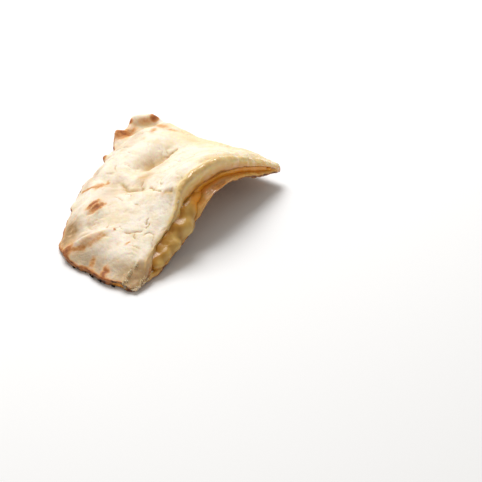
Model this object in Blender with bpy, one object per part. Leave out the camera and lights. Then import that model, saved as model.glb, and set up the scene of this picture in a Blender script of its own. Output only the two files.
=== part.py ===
"""A quarter of a round cheese naan: flat bread puffed round a melted cheese filling, cut twice through the middle.

Run it with blender --background --python part.py, or from Blender's text editor.

The piece is laid out from its apex, which was the middle of the whole bread. p runs from the apex along the front
cut, q runs along the back cut, and z is up from the surface that the piece rests on. All sizes are in millimetres
until a mesh is made. The finished piece is centred over the origin, with its apex towards +X.
"""

import bmesh
import bpy
import numpy as np

MM = 0.001

# Plan of the piece: the rim's distance from the apex, from the back cut (0) to the front cut (1)
RIM_RADIUS = ((0, 95), (0.05, 103), (0.16, 105), (0.28, 103), (0.37, 105), (0.52, 114), (0.66, 124), (0.79, 133),
              (0.86, 129.5), (0.93, 127), (1, 123))
# Small bumps along the rim, as (waves in the quarter, size, phase)
RIM_RIPPLES = ((11, 0.5, 0.4), (19, 0.35, 1.7))
BACK_CUT_BOW = ((0, 1), (20, 3), (50, 3.5), (75, 2), (96, 0))
BACK_CUT_BOW_REACH = 40

# The front cut, as (distance from the apex, size): the piece arches up in the middle of it
FRONT_ARCH = ((0, 6), (21, 14.5), (38, 21.3), (52, 23.2), (64, 20), (77, 10.8), (91, 4.5), (105, 0.6), (121, 0))
FRONT_TOP = ((0, 12), (8, 17.2), (20, 24.5), (32, 31), (41, 34.8), (50, 36.8), (60, 36.2), (68, 34), (73, 31.2),
             (79, 26), (86, 20), (98, 13.8), (112, 9.5), (121, 5))
TOP_DRAWN_BACK = ((0, 0.5), (20, 2), (32, 3.5), (45, 5.5), (58, 7), (70, 7.8), (76, 5.8), (82, 2.3), (98, 1.3),
                  (108, 0.4), (121, 0))
ARCH_DEPTH = 62
DRAWN_DEPTH = 34
EDGE_DEPTH = 20
CUT_BULGE = ((0, 0.9), (85, 1), (105, 2), (121, 2.6))

# Thicknesses: the whole bread, its rim, and the layer under the cheese
MIDDLE_THICK = 12.5
BACK_CUT_THICK = 9
BACK_CUT_DEPTH = 16
RIM_THICK = 2.4
RIM_TAPER = 19
RIM_OVERHANG = 1.6
RIM_SLOPE = 50
LOWER_LAYER = 2.8
LOWER_LAYER_APEX = 2
APEX_REACH = 12

# The pocket for the cheese: its height near the cuts, how far the upper layer's soft edge hangs down over its front
# mouth, and as shares of the cuts how far it runs and how its ends close
POCKET_AT_FRONT = ((0, 1), (6, 1.8), (20, 4), (45, 4.5), (60, 6), (72, 7), (90, 5.5), (105, 3), (121, 1))
EDGE_HANG = ((0, 0), (8, 0.3), (20, 1), (32, 1.8), (45, 3), (58, 3.8), (66, 3), (74, 1), (82, 0), (121, 0))
HANG_DEPTH = 7
POCKET_AT_BACK = 3.2
POCKET_SHARE_OF_BREAD = 0.62
POCKET_FRONT, POCKET_BACK = 0.88, 0.8
POCKET_TAPER = 0.12
APEX_PINCH = 0.05
APEX_TAPER = 0.08

# The cheese: its clearance, how far in from each cut it starts, and how far it bulges out of the front cut
CHEESE_GAP = 0.8
CHEESE_INSET = 0.05
CHEESE_BULGE = 0.3
FRONT_RECESS = ((0, 12), (30, 9.5), (55, 9), (64, 7), (70, 2), (75, 0), (121, 0))
BACK_RECESS = ((0, 11), (20, 6), (45, 2), (96, 1))
FRONT_BULGE = ((0, 0.4), (62, 0.6), (67, 3.2), (72, 6), (77, 5.6), (82, 3), (87, 5), (94, 4.4), (99, 2), (103, 3),
               (109, 0.6))

# Swells and dents of the top, as (p, q, half length, half width, turn in degrees, height)
SWELLS = (
    (48, 74, 25, 10, 3, 4.6),  # long puffed bubble behind the middle
    (40, 57, 20, 4.5, 5, -3.2),  # valley in front of it
    (24, 40, 18, 12, 0, 2),
    (71, 64, 13, 3, 100, -3),  # crease where the piece bends over, deep at the left
    (69, 34, 24, 3, 92, -2.3),
    (88, 44, 19, 15, 90, 2.8),
    (91, 53, 7, 5, 20, 1.3),  # blister
    (117, 38, 11, 3.5, 31, 2.4),  # ridge that runs in from the rim
    (108, 46, 12, 5, 31, -2.2),
    (103, 10, 9, 7, 0, 0.8),
    (3, 94, 6, 3.6, 38, 4.8),  # crust knob at the back tip, with a hollow in front of it
    (11, 100.5, 6, 3.6, 20, 5),
    (13, 92, 9, 3.5, 30, -3),
    (26, 99.5, 7.5, 3, -14, 6),  # second roll of crust
    (27, 92, 8, 3.5, -14, -2),
    (45, 88, 5, 3.5, -28, 1.8),
    (62, 83, 5, 3.5, -37, 1.5),
    (78, 75, 6, 4, -45, 1.4),
)

BREAD_GRID = 60
CHEESE_GRID = 24
CROWDING = 0.09
LIP_ROWS = 3
CHEESE_ROWS = 5
BREAD_TRIANGLES = 10300
BREAD_COLOUR, BREAD_ROUGHNESS = (0.84, 0.70, 0.46), 0.75
CHEESE_COLOUR, CHEESE_ROUGHNESS = (0.85, 0.66, 0.28), 0.35


def curve_through(stations):
    """A smooth curve through (place, value) stations, level beyond its ends, that doesn't swing past them."""
    places, values = np.array(stations, float).T
    secants = np.diff(values) / np.diff(places)
    slopes = np.gradient(values, places)
    steepest = 2 * np.minimum(abs(secants[:-1]), abs(secants[1:])) * (secants[:-1] * secants[1:] > 0)
    slopes[1:-1] = np.clip(slopes[1:-1], -steepest, steepest)

    def value_at(x):
        x = np.clip(x, places[0], places[-1])
        i = np.clip(np.searchsorted(places, x) - 1, 0, len(places) - 2)
        span = places[i + 1] - places[i]
        f = (x - places[i]) / span
        from_start = values[i] + f * span * slopes[i]
        from_end = values[i + 1] - (1 - f) * span * slopes[i + 1]
        return from_start + (from_end - from_start) * smooth_step(f)

    return value_at


def smooth_step(x):
    x = np.clip(x, 0, 1)
    return x * x * (3 - 2 * x)


rim_line = curve_through(RIM_RADIUS)
back_bow = curve_through(BACK_CUT_BOW)
front_arch = curve_through(FRONT_ARCH)
front_top = curve_through(FRONT_TOP)
drawn_back = curve_through(TOP_DRAWN_BACK)
cut_bulge = curve_through(CUT_BULGE)
pocket_at_front = curve_through(POCKET_AT_FRONT)
edge_hang = curve_through(EDGE_HANG)
front_recess = curve_through(FRONT_RECESS)
back_recess = curve_through(BACK_RECESS)
front_bulge = curve_through(FRONT_BULGE)


def rim_radius(share):
    ripples = sum(size * np.sin(waves * 2 * np.pi * share + phase) for waves, size, phase in RIM_RIPPLES)
    return rim_line(share) + ripples * np.sin(np.pi * share) - RIM_OVERHANG


def quarter(s, t):
    """The square (s, t) laid out on the quarter: s along the front cut, t along the back cut."""
    x, y = s * np.sqrt(1 - t * t / 2), t * np.sqrt(1 - s * s / 2)
    turn = np.arctan2(x, y)
    radius = np.hypot(x, y) * rim_radius(turn / (np.pi / 2))
    p, q = radius * np.sin(turn), radius * np.cos(turn)
    return p + back_bow(q) * (1 - smooth_step(p / BACK_CUT_BOW_REACH)), q


def rim_distance(p, q):
    return np.maximum(rim_radius(np.arctan2(p, q) / (np.pi / 2)) - np.hypot(p, q), 0)


def swell(p, q):
    total = 0 * p
    for p0, q0, length, width, turn, height in SWELLS:
        a = np.radians(turn)
        along = (p - p0) * np.cos(a) + (q - q0) * np.sin(a)
        across = (q - q0) * np.cos(a) - (p - p0) * np.sin(a)
        total = total + height * np.exp(-((along / length) ** 2) - (across / width) ** 2)
    return total


def underside(p, q):
    return np.maximum(0, front_arch(p) * (1 - smooth_step(q / ARCH_DEPTH)))


def top_place(p, q):
    """Where a point of the upper layer lies in plan: its cut edge has drawn back from the lower layer's."""
    return p, q + drawn_back(p) * (1 - smooth_step(q / DRAWN_DEPTH))


def top(p, q):
    p2, q2 = top_place(p, q)
    inner = MIDDLE_THICK + (BACK_CUT_THICK - MIDDLE_THICK) * np.exp(-((p / BACK_CUT_DEPTH) ** 2))
    inward = np.clip(1 - rim_distance(p, q) / RIM_TAPER, 0, 1)
    thick = RIM_THICK + (inner - RIM_THICK) * (1 - inward**2)
    body = underside(p2, q2) + thick + swell(p2, q2)
    near_cut = np.exp(-((q / EDGE_DEPTH) ** 2))
    return body * (1 - near_cut) + front_top(p) * near_cut


def floor(p, q):
    """The pocket's lower face, on the lower layer."""
    thinner = (LOWER_LAYER - LOWER_LAYER_APEX) * np.exp(-(((p + q) / APEX_REACH) ** 2))
    return underside(p, q) + LOWER_LAYER - thinner


def ceiling(p, q):
    """The pocket's upper face, under the upper layer."""
    near_back = np.exp(-((p / BACK_CUT_DEPTH) ** 2)) * (1 - np.exp(-((q / BACK_CUT_DEPTH) ** 2)))
    at_front = pocket_at_front(p) - edge_hang(p) * np.exp(-((q / HANG_DEPTH) ** 2))
    tall = at_front * (1 - near_back) + POCKET_AT_BACK * near_back
    room = top(p, q) - floor(p, q)
    return floor(*top_place(p, q)) + np.minimum(tall, POCKET_SHARE_OF_BREAD * room)


def pocket_share(s, t):
    """How much of its full height the pocket has: none at its inner edges and at the pinched apex."""
    ends = np.minimum(POCKET_FRONT - s, POCKET_BACK - t) / POCKET_TAPER
    apex = (np.maximum(s, t) - APEX_PINCH) / APEX_TAPER
    left = np.clip(np.minimum(ends, apex), 0, 1)
    return np.sqrt(1 - (1 - left) ** 2)


def place(p, q, z):
    """Points in the piece's frame, the apex still at the origin."""
    half = np.sqrt(0.5)
    return np.stack([-(p + q) * half, (q - p) * half, z], -1)


def pocket_faces(s, t):
    """Points on the pocket's upper and lower faces, which meet where the pocket ends."""
    p, q = quarter(s, t)
    high, low = place(*top_place(p, q), ceiling(p, q)), place(p, q, floor(p, q))
    middle, share = (high + low) / 2, pocket_share(s, t)[..., None]
    return middle + (high - middle) * share, middle + (low - middle) * share


def grid_steps(n):
    """Steps from 0 to 1 that crowd a little towards both ends, where the cuts and the rim are."""
    u = np.linspace(0, 1, n + 1)
    return u - CROWDING * np.sin(2 * np.pi * u) / np.pi


def outline_of_grid(n):
    """The grid places round its edge: along the rim, then down the back cut, then out along the front cut."""
    rim = [(n, j) for j in range(n + 1)] + [(i, n) for i in range(n - 1, -1, -1)]
    cuts = [(0, j) for j in range(n - 1, 0, -1)] + [(i, 0) for i in range(n)]
    return rim, cuts


class Skin:
    """Collects the points and faces of one closed mesh."""

    def __init__(self):
        self.points, self.faces = [], []

    def add(self, points):
        """Takes in an array of points and gives their numbers, in the array's shape."""
        first = len(self.points)
        flat = points.reshape(-1, 3)
        self.points.extend(flat.tolist())
        return np.arange(first, first + len(flat)).reshape(points.shape[:-1])

    def cover(self, numbers, cells=None):
        """Faces over a grid of point numbers, or over some of its cells."""
        corners = np.stack([numbers[:-1, :-1], numbers[1:, :-1], numbers[1:, 1:], numbers[:-1, 1:]], -1)
        self.faces.extend((corners.reshape(-1, 4) if cells is None else corners[cells]).tolist())

    def edge(self, high, low, outward, bulge, rows, slope=0):
        """Adds points from high to low, on part of an ellipse that bulges outward, and gives their numbers."""
        start = np.radians(slope)
        turn = start + (np.pi - start) * np.arange(1, rows + 1)[:, None] / (rows + 1)
        down = (np.cos(start) - np.cos(turn)) / (1 + np.cos(start))
        out = np.sin(turn) - np.sin(start) * (1 - down)
        return self.add(high + (low - high) * down + outward * bulge * out)

    def build(self, name, colour, roughness):
        points, faces = np.array(self.points), np.array(self.faces)
        used = np.unique(faces)
        mesh = bpy.data.meshes.new(name)
        mesh.from_pydata((points[used] * MM).tolist(), [], np.searchsorted(used, faces).tolist())
        work = bmesh.new()
        work.from_mesh(mesh)
        bmesh.ops.recalc_face_normals(work, faces=work.faces)
        work.to_mesh(mesh)
        work.free()
        mesh.shade_smooth()
        mesh.materials.append(material(name, colour, roughness))
        obj = bpy.data.objects.new(name, mesh)
        bpy.context.scene.collection.objects.link(obj)
        return obj


def material(name, colour, roughness):
    made = bpy.data.materials.new(name)
    made.use_nodes = True
    surface = made.node_tree.nodes["Principled BSDF"]
    surface.inputs["Base Color"].default_value = (*colour, 1)
    surface.inputs["Roughness"].default_value = roughness
    return made


def direction(p, q):
    """The unit direction, level with the ground, of a step of p and q."""
    step = place(float(p), float(q), 0.0)
    return step / np.linalg.norm(step)


def rim_outward(line):
    """Level unit directions out of the rim, square to its line."""
    along = np.gradient(line, axis=0)
    out = np.stack([along[:, 1], -along[:, 0], 0 * along[:, 0]], -1)
    return out / np.linalg.norm(out, axis=1, keepdims=True)


def bread():
    skin = Skin()
    steps = grid_steps(BREAD_GRID)
    s, t = np.meshgrid(steps, steps, indexing="ij")
    p, q = quarter(s, t)
    upper, lower = place(*top_place(p, q), top(p, q)), place(p, q, underside(p, q))
    upper_id, lower_id = skin.add(upper), skin.add(lower)
    skin.cover(upper_id)
    skin.cover(lower_id)

    # The pocket between the layers: its two faces share their points along the line where it closes
    is_open = pocket_share(s, t) > 0
    cells = is_open[:-1, :-1] | is_open[1:, :-1] | is_open[1:, 1:] | is_open[:-1, 1:]
    high, low = pocket_faces(s, t)
    high_id, low_id = skin.add(high), skin.add(low)
    high_id = np.where(is_open, high_id, low_id)
    skin.cover(high_id, cells)
    skin.cover(low_id, cells)
    at_pocket = np.zeros_like(is_open)
    for corner in (np.s_[:-1, :-1], np.s_[1:, :-1], np.s_[1:, 1:], np.s_[:-1, 1:]):
        at_pocket[corner] |= cells

    # The side all round, in an upper and a lower band that meet on one line, or at the pocket's mouth part round it
    rim, cuts = outline_of_grid(BREAD_GRID)
    line = np.array([upper[k] for k in rim])
    upper_band, lower_band = [], []
    for k, outward in zip(rim, rim_outward(line)):
        side = skin.edge(upper[k], lower[k], outward, RIM_OVERHANG, 2 * LIP_ROWS + 1, RIM_SLOPE)
        upper_band.append([upper_id[k], *side[: LIP_ROWS + 1]])
        lower_band.append([*side[LIP_ROWS:], lower_id[k]])
    for k in cuts:
        outward, bulge = direction(-(k[0] == 0), -(k[1] == 0)), cut_bulge(p[k])
        if at_pocket[k]:
            lip = skin.edge(upper[k], high[k], outward, bulge, LIP_ROWS)
            lower_lip = skin.edge(low[k], lower[k], outward, bulge, LIP_ROWS)
            upper_band.append([upper_id[k], *lip, high_id[k]])
            lower_band.append([low_id[k], *lower_lip, lower_id[k]])
        else:
            side = skin.edge(upper[k], lower[k], outward, bulge, 2 * LIP_ROWS + 1)
            upper_band.append([upper_id[k], *side[: LIP_ROWS + 1]])
            lower_band.append([*side[LIP_ROWS:], lower_id[k]])
    for band in (upper_band, lower_band):
        skin.cover(np.array(band + band[:1]))
    obj = skin.build("naan_bread", BREAD_COLOUR, BREAD_ROUGHNESS)
    fewer = obj.modifiers.new("Fewer faces", "DECIMATE")
    fewer.ratio = BREAD_TRIANGLES / (2 * len(skin.faces))
    return obj


def cheese():
    skin = Skin()
    n = CHEESE_GRID
    u, v = np.meshgrid(grid_steps(n), grid_steps(n), indexing="ij")
    s_end, t_end = POCKET_FRONT - CHEESE_INSET, POCKET_BACK - CHEESE_INSET
    cut = rim_radius(1.0)
    t_start = front_recess(u * s_end * cut) / cut
    s_start = back_recess(v * t_end * cut) / cut
    s, t = s_start + (s_end - s_start) * u, t_start + (t_end - t_start) * v
    high, low = pocket_faces(s, t)
    high[..., 2] -= CHEESE_GAP
    low[..., 2] += CHEESE_GAP
    high_id, low_id = skin.add(high), skin.add(low)
    skin.cover(high_id)
    skin.cover(low_id)
    rim, cuts = outline_of_grid(n)
    band = []
    for i, j in rim + cuts:
        outward = direction((i == n) - (i == 0), (j == n) - (j == 0))
        bulge = front_bulge(s[i, j] * cut) if j == 0 else CHEESE_BULGE
        side = skin.edge(high[i, j], low[i, j], outward, bulge, CHEESE_ROWS)
        band.append([high_id[i, j], *side, low_id[i, j]])
    skin.cover(np.array(band + band[:1]))
    return skin.build("cheese_filling", CHEESE_COLOUR, CHEESE_ROUGHNESS)


def main():
    for old in list(bpy.data.objects):
        bpy.data.objects.remove(old, do_unlink=True)
    pieces = [bread(), cheese()]
    corners = np.array([vertex.co for vertex in pieces[0].data.vertices])
    middle = (corners.min(0) + corners.max(0)) / 2
    for piece in pieces:
        for vertex in piece.data.vertices:
            vertex.co.x -= middle[0]
            vertex.co.y -= middle[1]
    print("apex at x, y in mm:", *(-middle[:2] / MM).round(2))


main()
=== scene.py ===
import math
import random

import bpy
import numpy as np
from mathutils import Matrix, Vector, noise
from mathutils.bvhtree import BVHTree


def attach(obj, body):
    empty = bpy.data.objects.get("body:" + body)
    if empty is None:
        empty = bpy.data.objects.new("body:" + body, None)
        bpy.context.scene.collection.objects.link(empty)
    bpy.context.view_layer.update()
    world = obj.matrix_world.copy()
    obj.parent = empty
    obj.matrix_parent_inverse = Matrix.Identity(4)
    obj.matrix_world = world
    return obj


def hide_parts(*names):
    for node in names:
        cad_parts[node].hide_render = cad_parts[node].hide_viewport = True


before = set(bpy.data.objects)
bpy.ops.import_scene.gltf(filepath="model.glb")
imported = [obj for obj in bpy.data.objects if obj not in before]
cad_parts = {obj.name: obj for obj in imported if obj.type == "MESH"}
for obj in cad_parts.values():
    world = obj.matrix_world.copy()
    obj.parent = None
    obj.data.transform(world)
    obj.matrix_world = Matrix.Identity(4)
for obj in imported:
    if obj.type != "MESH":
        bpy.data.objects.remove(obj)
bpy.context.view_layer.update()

# One quarter of a round cheese naan, cut through the middle. Lengths are in mm here, in metres in Blender.
# +X points to the tip at the naan's middle, +Y away from the viewer and +Z up.
# p runs from the tip along the front cut, q from the tip along the back cut, so q is also the depth behind
# the front cut.

half = math.sqrt(0.5)
tip = np.array([60.84, 9.65])                # where the two cuts meet
alongFront = np.array([-half, -half])
alongBack = np.array([-half, half])
print("frame loaded:", ", ".join(sorted(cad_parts)))


def pick(piece):
    bpy.ops.object.select_all(action="DESELECT")
    piece.select_set(True)
    bpy.context.view_layer.objects.active = piece


def addModifier(piece, kind, **settings):
    # adds a modifier and applies it at once
    pick(piece)
    modifier = piece.modifiers.new(kind.title(), kind)
    for name, value in settings.items():
        setattr(modifier, name, value)
    bpy.ops.object.modifier_apply(modifier=modifier.name)


def copyNode(nodeName, pieceName):
    piece = bpy.data.objects.new(pieceName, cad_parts[nodeName].data.copy())
    piece.data.materials.clear()
    bpy.context.scene.collection.objects.link(piece)
    pick(piece)
    bpy.ops.object.mode_set(mode="EDIT")
    bpy.ops.mesh.select_all(action="SELECT")
    bpy.ops.mesh.remove_doubles(threshold=0.00001)
    bpy.ops.object.mode_set(mode="OBJECT")
    return piece


def joinPieces(pieces, name):
    pick(pieces[0])
    for piece in pieces:
        piece.select_set(True)
    bpy.ops.object.join()
    pieces[0].name = name
    return pieces[0]


def finishPiece(piece, material, node):
    piece.data.materials.clear()
    piece.data.materials.append(material)
    pick(piece)
    bpy.ops.object.shade_smooth()
    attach(piece, "root")
    if node:
        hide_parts(node)
    print(piece.name, "finished:", sum(len(face.vertices) - 2 for face in piece.data.polygons), "triangles")


def readMesh(piece):
    # places in mm and outward directions of the mesh's points
    mesh = piece.data
    places = np.empty(len(mesh.vertices) * 3)
    mesh.vertices.foreach_get("co", places)
    outward = np.empty(len(mesh.vertices) * 3)
    mesh.vertices.foreach_get("normal", outward)
    return places.reshape(-1, 3) * 1000, outward.reshape(-1, 3)


def writeMesh(piece, places):
    piece.data.vertices.foreach_set("co", (places / 1000).ravel())
    piece.data.update()


def smoothStep(low, high, values):
    share = np.clip((values - low) / (high - low), 0, 1)
    return share * share * (3 - 2 * share)


def grain(places, size, seed=0):
    # smooth random values from about -1 to 1 that change over size mm
    shift = Vector((seed * 17.3, seed * 5.9, seed * 11.1))
    return np.array([noise.noise(Vector(place) + shift) for place in places / size])


def roughness(places, layers, seed):
    # several grains on top of one another: size and height of each
    return sum(rise * grain(places, size, seed + number) for number, (size, rise) in enumerate(layers))


def waver(flat, places, size, reach, seeds):
    # shifts the places in plan, so that a spot or a line drawn there gets an uneven edge
    return flat + reach * np.stack([grain(places, size, seed) for seed in seeds], 1)


def curveThrough(points, steps=6):
    # a smooth line through the points
    points = [np.array(point, float) for point in points]
    ends = [2 * points[0] - points[1], *points, 2 * points[-1] - points[-2]]
    line = []
    for a, b, c, d in zip(ends, ends[1:], ends[2:], ends[3:]):
        for step in range(steps):
            t = step / steps
            bend = (2 * a - 5 * b + 4 * c - d) * t * t + (3 * b - a - 3 * c + d) * t ** 3
            line.append(0.5 * (2 * b + (c - a) * t + bend))
    line.append(points[-1])
    return np.array(line)


def lineDistance(flat, line):
    # distance to the line, the side of it, and the share of the way along it
    near = np.full(len(flat), 1e9)
    side = np.ones(len(flat))
    share = np.zeros(len(flat))
    for number, (a, b) in enumerate(zip(line, line[1:])):
        run = b - a
        along = np.clip((flat - a) @ run / (run @ run), 0, 1)
        gap = flat - a - along[:, None] * run
        distance = np.hypot(gap[:, 0], gap[:, 1])
        closer = distance < near
        near[closer] = distance[closer]
        side[closer] = np.sign(run[0] * gap[:, 1] - run[1] * gap[:, 0])[closer]
        share[closer] = (number + along[closer]) / (len(line) - 1)
    return near, side, share


def oval(flat, x, y, halfLength, halfWidth, turn):
    # 1 in the middle, 0 well outside
    angle = math.radians(turn)
    dx, dy = (flat - (x, y)).T
    u = (dx * math.cos(angle) + dy * math.sin(angle)) / halfLength
    v = (dy * math.cos(angle) - dx * math.sin(angle)) / halfWidth
    return np.exp(-(u * u + v * v) ** 1.15 * 0.9)


def strongestSpot(flat, spots):
    amount = np.zeros(len(flat))
    for *spot, strength in spots.values():
        amount = np.maximum(amount, strength * oval(flat, *spot))
    return amount


def neighbourMean(mesh, values, rounds):
    # each value becomes the mean of its neighbours' values, a number of times over
    edges = np.empty(len(mesh.edges) * 2, np.int64)
    mesh.edges.foreach_get("vertices", edges)
    a, b = edges.reshape(-1, 2).T
    count = len(mesh.vertices)
    size = np.maximum(np.bincount(a, minlength=count) + np.bincount(b, minlength=count), 1)
    values = values.copy()
    for turn in range(rounds):
        total = np.bincount(a, values[b], count) + np.bincount(b, values[a], count)
        values = 0.5 * values + 0.5 * total / size
    return values


def concavity(piece, rounds):
    # how far each point lies behind the mean of the surface around it, in mm
    places, outward = readMesh(piece)
    means = [neighbourMean(piece.data, places[:, axis], rounds) for axis in range(3)]
    return ((np.stack(means, 1) - places) * outward).sum(1)


def heightsUnder(tree, x, y):
    # heights in mm of every surface under a point, from the top down
    heights = []
    start = Vector((x, y, 100)) / 1000
    hit = tree.ray_cast(start, Vector((0, 0, -1)))[0]
    while hit is not None:
        heights.append(hit.z * 1000)
        hit = tree.ray_cast(hit - Vector((0, 0, 0.00002)), Vector((0, 0, -1)))[0]
    return heights


def addGroup(piece, name, weights):
    group = piece.vertex_groups.new(name=name)
    for number in np.nonzero(weights > 0.02)[0]:
        group.add([int(number)], float(weights[number]), "REPLACE")


def setAttribute(piece, name, values):
    attribute = piece.data.attributes.new(name, "FLOAT", "POINT")
    attribute.data.foreach_set("value", np.clip(values, 0, 1).astype(np.float32))


def linear(code):
    # an sRGB hex colour as the linear values that Blender mixes
    parts = [int(code[i:i + 2], 16) / 255 for i in (0, 2, 4)]
    return [p / 12.92 if p <= 0.04045 else ((p + 0.055) / 1.055) ** 2.4 for p in parts] + [1]


def addNode(material, kind, inputs=None, **settings):
    # inputs: a socket's name or number, and either a value or an output to link from
    node = material.node_tree.nodes.new("ShaderNode" + kind)
    for name, value in settings.items():
        setattr(node, name, value)
    for name, value in (inputs or {}).items():
        if isinstance(value, bpy.types.NodeSocket):
            material.node_tree.links.new(value, node.inputs[name])
        else:
            node.inputs[name].default_value = value
    return node


def startMaterial(name, settings):
    # settings: the shader's sockets that have one value all over
    material = bpy.data.materials.new(name)
    material.use_nodes = True
    shader = material.node_tree.nodes["Principled BSDF"]
    for socket, value in settings.items():
        shader.inputs[socket].default_value = value
    return material, shader


def perMm(size):
    # scale of a noise or voronoi pattern whose features are size mm apart
    return 1000 / size


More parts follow.
